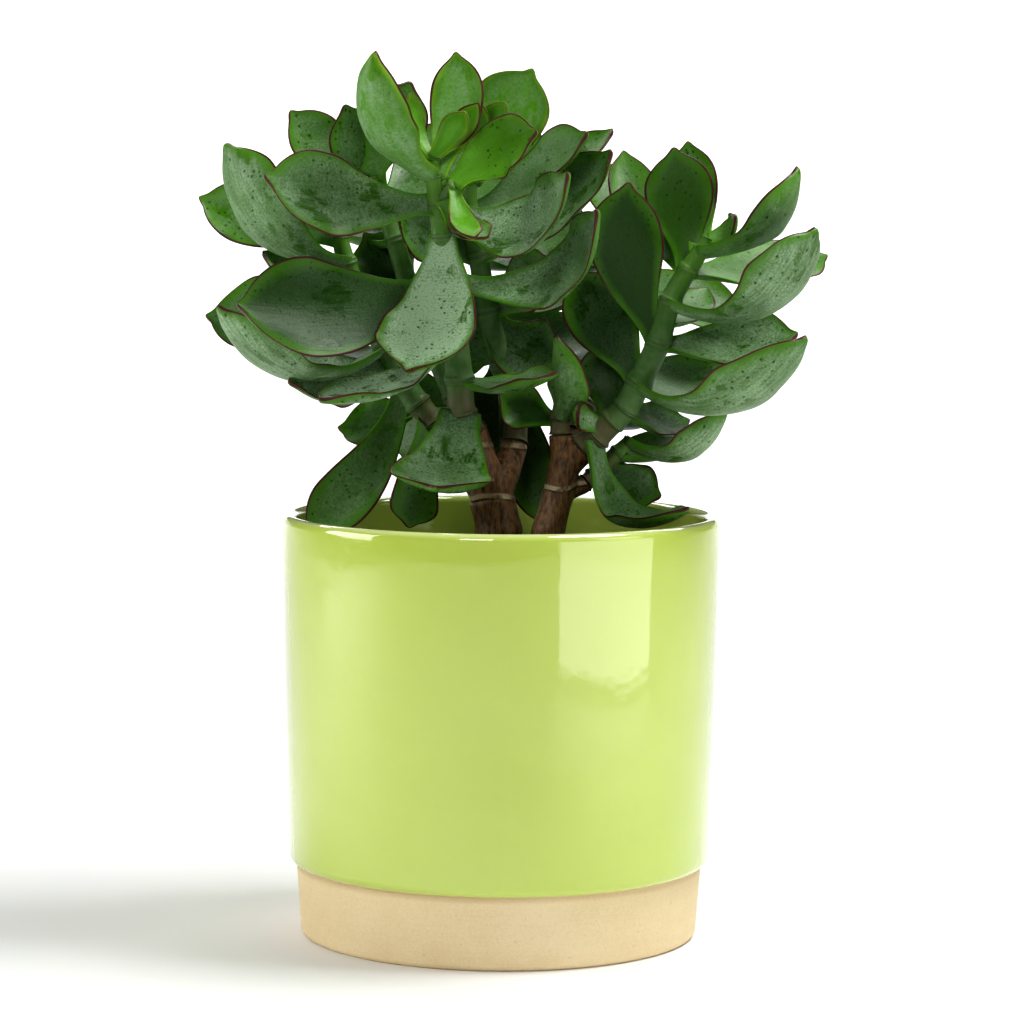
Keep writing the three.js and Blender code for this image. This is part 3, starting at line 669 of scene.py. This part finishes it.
            leaf(2, (50, 74, 208), (0, -0.3, 0.9), 28, dip=5, young=0.15, bloom=0.4),
            leaf(1, (80, 38, 174), (-0.1, -0.6, 0.8), 28, dip=4, young=0.1, bloom=0.4),
            leaf(1, (5, 54, 197), (0.1, -0.65, 0.75), 27, dip=4, young=0.15, bloom=0.4),
            leaf(0, (50, 58, 164), (0, -0.1, 1), 26, dip=4, young=0.1, bloom=0.4),
            leaf(3, (4, 46, 228), (0.1, -0.8, 0.6), 27, young=0.2, bloom=0.3),
        ],
    },
    "stem_low_right": {
        "wood": [(18, -2, 141, 3.4), (26.5, 1.6, 144.3, 2.9)],
        "nodes": [(29, 2.5, 146.5, 3), (32, 3.5, 149.5, 2.9), (37, 4, 154, 2.8), (41, 4, 158, 2.2)],
        "leaves": [
            leaf(3, (71, -4, 168), (-0.2, 0.45, 0.85), 20, dip=8, cup=30, young=0.15, bloom=0.7),
            leaf(1, (51, 5, 140), (0, -0.8, 0.5), 17, neck=5, young=0.05, bloom=0.2),
            leaf(2, (58, 34, 158), (0, -0.2, 1), 22, young=0.1, bloom=0.4),
            leaf(1, (42, 17, 148.5), (0, -0.8, 0.5), 9, neck=4, young=0.1, bloom=0.3),
        ],
    },
}

TRUNKS = {
    "trunk_left": {
        "stem": [(-2, 0, 120, 7.2), (-1, 0, 129, 7.6), (-3, 0, 139, 7.2)],
        "scars": [139.5, 156],
        "forks": ["stem_front", "stem_left", "stem_back_left", "stem_back"],
    },
    "trunk_right": {
        "stem": [(12, -4, 120, 5), (15, -4, 130, 5.2), (18, -2, 141, 5), (20, -1, 150, 5)],
        "scars": [144],
        "forks": ["stem_right", "stem_middle", "stem_back_right", "stem_low_right"],
    },
}


# Trunks. Brown, slightly glossy bark over old wood, ringed at a few joints where leaves once
# fell, and forked; each stands in the soil on a plain root.
ROOT_DEPTH = 34 * MM
NODE_SWELLING = 1.1
WOOD_SWELLING = 1.03
LIMB_SIDES = 28
RINGS_BETWEEN = 14
WOOD_GRAIN = 0.3 * MM
WOOD_JOINT = 0.22
ROOT_OVERLAP = 3 * MM
BARK_CELL = 0.5 * MM
KNOT_SIZE = 5 * MM
SCAR_SLANT = 9 * MM
SCAR_HALF = (1.3, 0.5)
BARK_RELIEF = 0.45 * MM
BARK = (0.25, 0.13, 0.05)
BARK_DARK = (0.05, 0.026, 0.011)
BARK_GREY = (0.3, 0.22, 0.115)
BARK_PALE = (0.55, 0.46, 0.28)


def curve_through(points, spots):
    """Places and directions on the smooth curve through points, at spots counted in points."""
    points = np.array(points, float)
    before = 2 * points[0] - points[1]
    after = 2 * points[-1] - points[-2]
    padded = np.vstack([before, points, after])
    places, aheads = [], []
    for spot in spots:
        k = min(int(spot), len(points) - 2)
        w = spot - k
        p0, p1, p2, p3 = padded[k : k + 4]
        d0, d1, d2 = (max(np.linalg.norm(b - a), 1e-4) ** 0.5 for a, b in ((p0, p1), (p1, p2), (p2, p3)))
        t1 = ((p1 - p0) / d0 - (p2 - p0) / (d0 + d1) + (p2 - p1) / d1) * d1
        t2 = ((p2 - p1) / d1 - (p3 - p1) / (d1 + d2) + (p3 - p2) / d2) * d1
        c2 = 3 * (p2 - p1) - 2 * t1 - t2
        c3 = 2 * (p1 - p2) + t1 + t2
        places.append(p1 + t1 * w + c2 * w**2 + c3 * w**3)
        ahead = t1 + 2 * c2 * w + 3 * c3 * w**2
        aheads.append(ahead / np.linalg.norm(ahead))
    return np.array(places), np.array(aheads)


def blank(around, rings):
    """A closed tube of radius 1 and length 1, cut into rings, to be drawn out into one piece."""
    bpy.ops.object.select_all(action="DESELECT")
    bpy.ops.mesh.primitive_cylinder_add(vertices=around, radius=1, depth=1, end_fill_type="TRIFAN")
    tube = bpy.context.object
    bpy.ops.object.mode_set(mode="EDIT")
    bpy.ops.mesh.select_all(action="DESELECT")
    shell = bmesh.from_edit_mesh(tube.data)
    for edge in shell.edges:
        edge.select = abs(edge.verts[0].co.z - edge.verts[1].co.z) > 0.5
    bmesh.update_edit_mesh(tube.data)
    bpy.ops.mesh.subdivide(number_cuts=rings - 1)
    bpy.ops.object.mode_set(mode="OBJECT")
    points = np.array([v.co[:] for v in tube.data.vertices])
    ring = np.rint((points[:, 2] + 0.5) * rings)
    column = np.rint(np.arctan2(points[:, 1], points[:, 0]) / (2 * math.pi) * around) % around
    return tube, ring, column, np.hypot(points[:, 0], points[:, 1]) > 0.5


def drawn(tube, points, marks):
    """A copy of a blank with its points put in place (millimetres) and marks kept on them."""
    one = tube.copy()
    one.data = tube.data.copy()
    bpy.context.scene.collection.objects.link(one)
    one.data.vertices.foreach_set("co", (points * MM).ravel())
    for name, values in marks.items():
        made = one.data.attributes.new(name, "FLOAT_VECTOR", "POINT")
        made.data.foreach_set("vector", np.stack(np.broadcast_arrays(*values), 1).ravel())
    return one


def joined(name, parts):
    """The parts as one piece, faces outwards."""
    bpy.ops.object.select_all(action="DESELECT")
    for part in parts:
        part.select_set(True)
    bpy.context.view_layer.objects.active = parts[0]
    bpy.ops.object.join()
    piece = bpy.context.object
    piece.name = name
    bpy.ops.object.mode_set(mode="EDIT")
    bpy.ops.mesh.select_all(action="SELECT")
    bpy.ops.mesh.normals_make_consistent(inside=False)
    bpy.ops.object.mode_set(mode="OBJECT")
    bpy.ops.object.shade_smooth()
    return piece


def limb(points, first, last, sharp, swelling=NODE_SWELLING, number=0.0, lift=0.0):
    """A round limb along the curve through points (x, y, z, radius), from point first to point
    last, with a ring at each joint, as wide as sharp says and swollen that many times."""
    rings = (last - first) * RINGS_BETWEEN
    tube, ring, column, outer = blank(LIMB_SIDES, rings)
    spots = first + np.arange(rings + 1) / RINGS_BETWEEN
    places, aheads = curve_through([p[:3] for p in points], spots)
    places[0] += aheads[0] * lift
    radii = np.interp(spots, range(len(points)), [p[3] for p in points])
    off_joint = np.abs(spots - np.rint(spots))
    between = 1 - (swelling - 1) * 0.8
    radii = radii * (between + (swelling - between) * np.exp(-((off_joint / sharp) ** 2)))
    across = np.cross((0, 1, 0), aheads)
    across /= np.linalg.norm(across, axis=1)[:, None]
    back = np.cross(aheads, across)
    i = ring.astype(int)
    angle = 2 * math.pi * column / LIMB_SIDES
    reach = (radii[i] * outer)[:, None]
    points_now = places[i] + reach * (across[i] * np.cos(angle)[:, None] + back[i] * np.sin(angle)[:, None])
    length = np.concatenate([[0], np.cumsum(np.linalg.norm(np.diff(places, axis=0), axis=1))])
    marks = {
        "blade": (0.0, length[i], number),
        "edge": (0.0, off_joint[i], 0.0),
        "look": (0.0, 0.0, spots[i] / (len(points) - 1)),
    }
    made = drawn(tube, points_now, marks)
    bpy.data.objects.remove(tube)
    return made


for name, plan in TRUNKS.items():
    x, y, z, radius = plan["stem"][0]
    parts = [limb(plan["stem"], 0, len(plan["stem"]) - 1, WOOD_JOINT, WOOD_SWELLING)]
    for fork in plan["forks"]:
        points = STEMS[fork]["wood"] + STEMS[fork]["nodes"]
        parts.append(limb(points, 0, len(STEMS[fork]["wood"]) - 1, WOOD_JOINT, WOOD_SWELLING))
    bpy.ops.object.select_all(action="DESELECT")
    bpy.ops.mesh.primitive_cylinder_add(
        vertices=LIMB_SIDES, radius=radius * MM, depth=ROOT_DEPTH + ROOT_OVERLAP,
        location=(x * MM, y * MM, z * MM - (ROOT_DEPTH - ROOT_OVERLAP) / 2),
    )
    bpy.ops.object.transform_apply()
    parts.append(bpy.context.object)
    trunk = joined(name + "_bark", parts)
    fuse = trunk.modifiers.new("fuse", "REMESH")
    fuse.mode = "VOXEL"
    fuse.voxel_size = BARK_CELL
    bpy.ops.object.modifier_apply(modifier="fuse")
    smooth = trunk.modifiers.new("smooth", "SMOOTH")
    smooth.iterations = 3
    bpy.ops.object.modifier_apply(modifier="smooth")
    knots = bpy.data.textures.get("knots") or bpy.data.textures.new("knots", "CLOUDS")
    knots.noise_scale = KNOT_SIZE
    gnarl = trunk.modifiers.new("gnarl", "DISPLACE")
    gnarl.texture = knots
    gnarl.strength = WOOD_GRAIN
    bpy.ops.object.modifier_apply(modifier="gnarl")
    bpy.ops.object.shade_smooth()
    paint, place, finish = material(name + " bark")
    height = place.node("SeparateXYZ", None, {0: place}, out=2)
    ridges = place.stretched(1, 1, 0.12).noise(900, 4, 0.6)
    grain = place.stretched(1, 1, 0.5).noise(800, 4, 0.65)
    patches = place.stretched(1, 1, 0.6).noise(90, 4, 0.6)
    tilt = place.stretched(1, 1, 0.1).noise(45, 1)
    uneven = height + (tilt - 0.5) * SCAR_SLANT
    scar = height * 0
    for level in plan["scars"]:
        below, above = [uneven.step((level + end * SCAR_HALF[0]) * MM, (level + end * SCAR_HALF[1]) * MM)
                        for end in (-1, 1)]
        scar = scar.larger(below * above)
    scar = scar * patches.step(0.34, 0.46)
    bark = (ridges * 0.5 + grain * 0.5).step(0.35, 0.62).mixed(BARK_DARK, BARK)
    bark = (patches.step(0.48, 0.64) * grain.step(0.3, 0.6) * 0.6).mixed(bark, BARK_GREY)
    finish(
        Base_Color=(scar * 0.8).mixed(bark, BARK_PALE),
        Roughness=0.3 + grain * 0.25,
        Specular_IOR_Level=0.35,
        Normal=bump(ridges * 0.8 + grain * 0.5 + scar * 2.5, BARK_RELIEF),
    )
    trunk.data.materials.append(paint)
    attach(trunk, "root")
    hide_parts(name)


# Stems and leaves. Each green stem with its leaves is one grown piece. The leaves are thick
# and waxy with a flat or cupped face, a swollen back and a thin red margin, and age from
# lime at the tips to dull grey-green; painted shade darkens the leaves deep inside the plant
# and the hearts of the blades. Wax blooms on them and rubs off in dark glossy marks.
LEAF_RINGS = 44
FACE_STEPS = 20
BACK_STEPS = 16
LEAF_WAVES = 1.6
WAVE = 0.07
FLAT_AT_NECK = 0.35
THINNER_AT_END = 0.35
CURL_SCALE = 2.6
POINTED = 0.74
BLUNTER = 1.08
NIB = 1.7
NIB_WIDTH = 3.2
NIB_START = 0.85
HEEL = 0.3
HEEL_REACH = 4.4
FINE_WAVE = 0.03
FINE_WAVES = 3.3
EDGE_ROUND = 0.4
TIP_CROWDING = 1.6

GREEN_JOINT = 0.12
LEAF_RELIEF = 0.3 * MM
STEM_RELIEF = 0.25 * MM
GREEN_OLD = (0.014, 0.056, 0.002)
GREEN_FRESH = (0.13, 0.39, 0.008)
WAX = (0.34, 0.49, 0.3)
GREEN_BACK = (0.08, 0.2, 0.03)
DOT = (0.012, 0.045, 0.006)
GREEN_RIM = (0.085, 0.25, 0.01)
YELLOW_EDGE = (0.3, 0.48, 0.03)
RED_EDGE = (0.085, 0.012, 0.026)
STEM_GREEN = (0.05, 0.14, 0.018)
STEM_GREY = (0.15, 0.25, 0.1)
STEM_FRESH = (0.12, 0.3, 0.015)
CORK = (0.14, 0.11, 0.055)
JOINT_LINE = (0.03, 0.02, 0.012)

leaf_blank = blank(FACE_STEPS + BACK_STEPS, LEAF_RINGS)


def unit(vectors):
    return vectors / np.linalg.norm(vectors, axis=-1, keepdims=True)


def outline(t, neck, taper, widest, blunt):
    """Share of the full width along a leaf: a narrow neck, a broad blade and a blunt end."""
    rising = neck + (1 - neck) * np.sin(np.pi / 2 * np.minimum(t / widest, 1)) ** taper
    falling = np.maximum(0, 1 - (np.maximum(t - widest, 0) / (1 - widest)) ** (blunt * BLUNTER)) ** POINTED
    return np.where(t < widest, rising, falling)


def grown_leaf(plan, nodes, number):
    """Draws the blank out into one leaf."""
    tube, ring, column, outer = leaf_blank
    t = (1 - (1 - ring / LEAF_RINGS) ** TIP_CROWDING)[:, None]
    below = column > FACE_STEPS
    turn = np.where(below, 1 - 2 * (column - FACE_STEPS) / BACK_STEPS, 2 * column / FACE_STEPS - 1)
    s = np.sin(np.pi / 2 * turn)[:, None] * outer[:, None]
    below = below[:, None] | ~outer[:, None]
    start = plan["start"]
    root = np.array(start if isinstance(start, tuple) else nodes[start][:3], float)
    chord = np.array(plan["tip"]) - root
    nib = NIB * min(1, plan["width"] / 24)
    length = np.linalg.norm(chord) - nib
    chord = unit(chord)
    up = np.array(plan["face"], float)
    up = unit(up - up.dot(chord) * chord)
    side = np.cross(chord, up)
    hump = 4 * t * (1 - t)
    slope = 4 - 8 * t
    middle = (
        root + chord * length * t
        + up * (plan["curl"] * CURL_SCALE * (t**3 - t) - plan["dip"] * hump)
        + side * plan["bend"] * hump
    )
    ahead = unit(
        chord * length
        + up * (plan["curl"] * CURL_SCALE * (3 * t**2 - 1) - plan["dip"] * slope)
        + side * plan["bend"] * slope
    )
    across = unit(np.cross(ahead, up))
    above = np.cross(across, ahead)
    width = plan["width"]
    half = width / 2 * outline(
        t, min(1, plan["neck"] / width), plan["taper"], plan["widest"], plan["blunt"]
    )
    half = half * (1 + HEEL * np.exp(-((t * length / HEEL_REACH) ** 2)))
    bow = np.maximum(math.radians(plan["cup"]) * np.minimum(1, FLAT_AT_NECK + t), 0.01)
    depth = plan["thick"] * (1 - THINNER_AT_END * t)
    depth = depth * np.tanh(1.4 * half / depth)
    nib = nib * np.clip((t - NIB_START) / (1 - NIB_START), 0, 1) ** 2
    nib = nib * np.exp(-((s * half / NIB_WIDTH * 2) ** 2))
    middle = middle + ahead * nib
    lean = bow * s
    size = np.abs(s)
    ripple = WAVE * half * size**3 * np.sin(2 * math.pi * LEAF_WAVES * t + s)
    ripple = ripple + FINE_WAVE * half * size**2 * np.sin(2 * math.pi * FINE_WAVES * t + 2 * s + number)
    edge_width = np.minimum(0.9, EDGE_ROUND / np.maximum(half, 0.1))
    over_edge = np.clip((size - 1 + edge_width) / edge_width, 0, 1)
    rounding = EDGE_ROUND * (1 - np.sqrt(1 - over_edge**2 * 0.98))
    sunk = np.where(below, rounding + (depth - rounding) * (1 - size**2.4) ** 0.75, rounding)
    places = (
        middle
        + across * (half * np.sin(lean) / bow + sunk * np.sin(lean))
        + above * (half * (1 - np.cos(lean)) / bow + ripple - sunk * np.cos(lean))
    )
    last = (~outer & (ring == LEAF_RINGS))[:, None]
    places = np.where(last, middle - above * 0.2, places)
    flat = lambda values: np.broadcast_to(values, t.shape)[:, 0]
    marks = {
        "blade": (flat(s * half), flat(t * length), number),
        "edge": (flat((1 - size) * half), flat(t), flat(below * 1.0)),
        "look": (plan["young"], plan["bloom"], flat(s)),
    }
    return drawn(tube, places, marks)


def leaf_paint():
    made, place, finish = material("waxy leaf")
    across, along, number = attribute(place, "blade")
    margin, t, back = attribute(place, "edge")
    # These two values carry the leaf's freshness and wax, and also painted shade on inner leaves and
    # painted light on some shaded leaves.
    young, bloom = attribute(place, "look")[:2]
    spot = place.node("CombineXYZ", None, {0: across, 1: along, 2: number * 37})
    clouds = spot.noise(0.1, 4, 0.6)
    smears = spot.stretched(1, 0.7, 1).noise(0.13, 5, 0.62)
    grain = spot.noise(1.5, 4, 0.75)
    streaks = spot.stretched(1, 0.12, 1).noise(0.9, 3, 0.6)
    ragged = margin * (3 - t.step(0.1, 0.95) * 2) + clouds * 5 - 2.5
    cell = {"Vector": spot, "Scale": 0.5}
    cells = place.node("TexVoronoi", None, cell)
    kept = place.node("TexVoronoi", None, cell, out=1).step(0.4, 0.5) * t.step(0.15, 0.5)
    dots = cells.step(0.3, 0.12) * kept * margin.step(0.8, 2) * young.step(0.95, 0.8)
    rubbed = smears.step(0.57, 0.62) * t.step(0.1, 0.3) * (0.5 + streaks.step(0.35, 0.6) * 0.5)
    wax = bloom * ragged.step(0, 7) * (0.55 + clouds.step(0.35, 0.65) * 0.45)
    brushed = streaks.step(0.35, 0.65) * back
    wax = wax * (1 - rubbed * 0.95) * (0.3 + grain.step(0.36, 0.64) * 0.8 + brushed * 0.5 - back * 0.15)
    green = (young * (0.45 + streaks * 0.5 + grain * 0.5)).smaller(1).mixed(GREEN_OLD, GREEN_FRESH)
    green = (back * 0.6 * (0.3 + streaks)).mixed(green, GREEN_BACK)
    # Painted shade: the heart of each blade stays dark while a broad band along the margin goes to a
    # fresher green, partly the margin's own colour and partly painted shade in the cupped middle.
    green = (ragged.step(8, 1.5) * (0.6 + young * 0.2)).mixed(green, GREEN_RIM)
    # Young leaves get a yellow margin, partly their own colour and partly a painted glow of light shining
    # through the thin edge.
    green = (ragged.step(3, 0.4) * (young - 0.4) * (0.3 + grain)).mixed(green, YELLOW_EDGE)
    green = wax.smaller(1).mixed(green, WAX)
    green = (dots * 0.85).mixed(green, DOT)
    red = margin.step(0.8, 0.5) * t.step(0.25, 0.5) * (1 - young.step(0.92, 0.97) * 0.8)
    finish(
        Base_Color=(red * 0.95).mixed(green, RED_EDGE),
        Roughness=0.36 + wax * 0.25 - rubbed * 0.1,
        Specular_IOR_Level=0.2,
        Normal=bump(clouds * 0.9 + streaks * 0.3 + grain * 0.12 - dots * 0.1 - rubbed * 0.05, LEAF_RELIEF),
    )
    return made


def stem_paint():
    made, place, finish = material("green stem")
    along, shoot = attribute(place, "blade")[1:]
    off_joint = attribute(place, "edge")[1]
    climbed = attribute(place, "look")[2]
    wax = place.noise(160, 4, 0.6).step(0.35, 0.7)
    fibres = place.stretched(1, 1, 0.12).noise(1300, 3)
    corky = (along + wax * 6).step(20, 9) * (1 - shoot)
    line = off_joint.step(0.05, 0.015)
    scar = off_joint.step(0.13, 0.06)
    green = (climbed.step(0.6, 0.95) * 0.8).mixed(STEM_GREEN, STEM_FRESH)
    green = (wax * (0.8 - climbed * 0.4)).mixed(green, STEM_GREY)
    green = (corky * (0.6 + fibres * 0.4)).mixed(green, CORK)
    green = (scar * 0.25).mixed(green, STEM_GREY)
    finish(
        Base_Color=(line * (0.25 + corky * 0.5)).mixed(green, JOINT_LINE),
        Roughness=0.45 + wax * 0.2,
        Specular_IOR_Level=0.35,
        Normal=bump(fibres * 0.7 + scar - line, STEM_RELIEF),
    )
    return made


waxy_leaf = leaf_paint()
green_stem = stem_paint()
number = 0
for name, plan in STEMS.items():
    points = plan["wood"] + plan["nodes"]
    parts = [limb(points, len(plan["wood"]) - 1, len(points) - 1, GREEN_JOINT, lift=SEAT / MM)]
    for shoot in plan.get("shoots", []):
        parts.append(limb(shoot, 0, len(shoot) - 1, GREEN_JOINT, number=1.0))
    for part in parts:
        part.data.materials.append(green_stem)
    for one in plan["leaves"]:
        number += 1
        blade = grown_leaf(one, plan["nodes"], number)
        blade.data.materials.append(waxy_leaf)
        parts.append(blade)
    stem = joined(name.replace("stem", "leaves"), parts)
    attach(stem, "root")
    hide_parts(name)
bpy.data.objects.remove(leaf_blank[0])


made_box = [list(corner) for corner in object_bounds()]
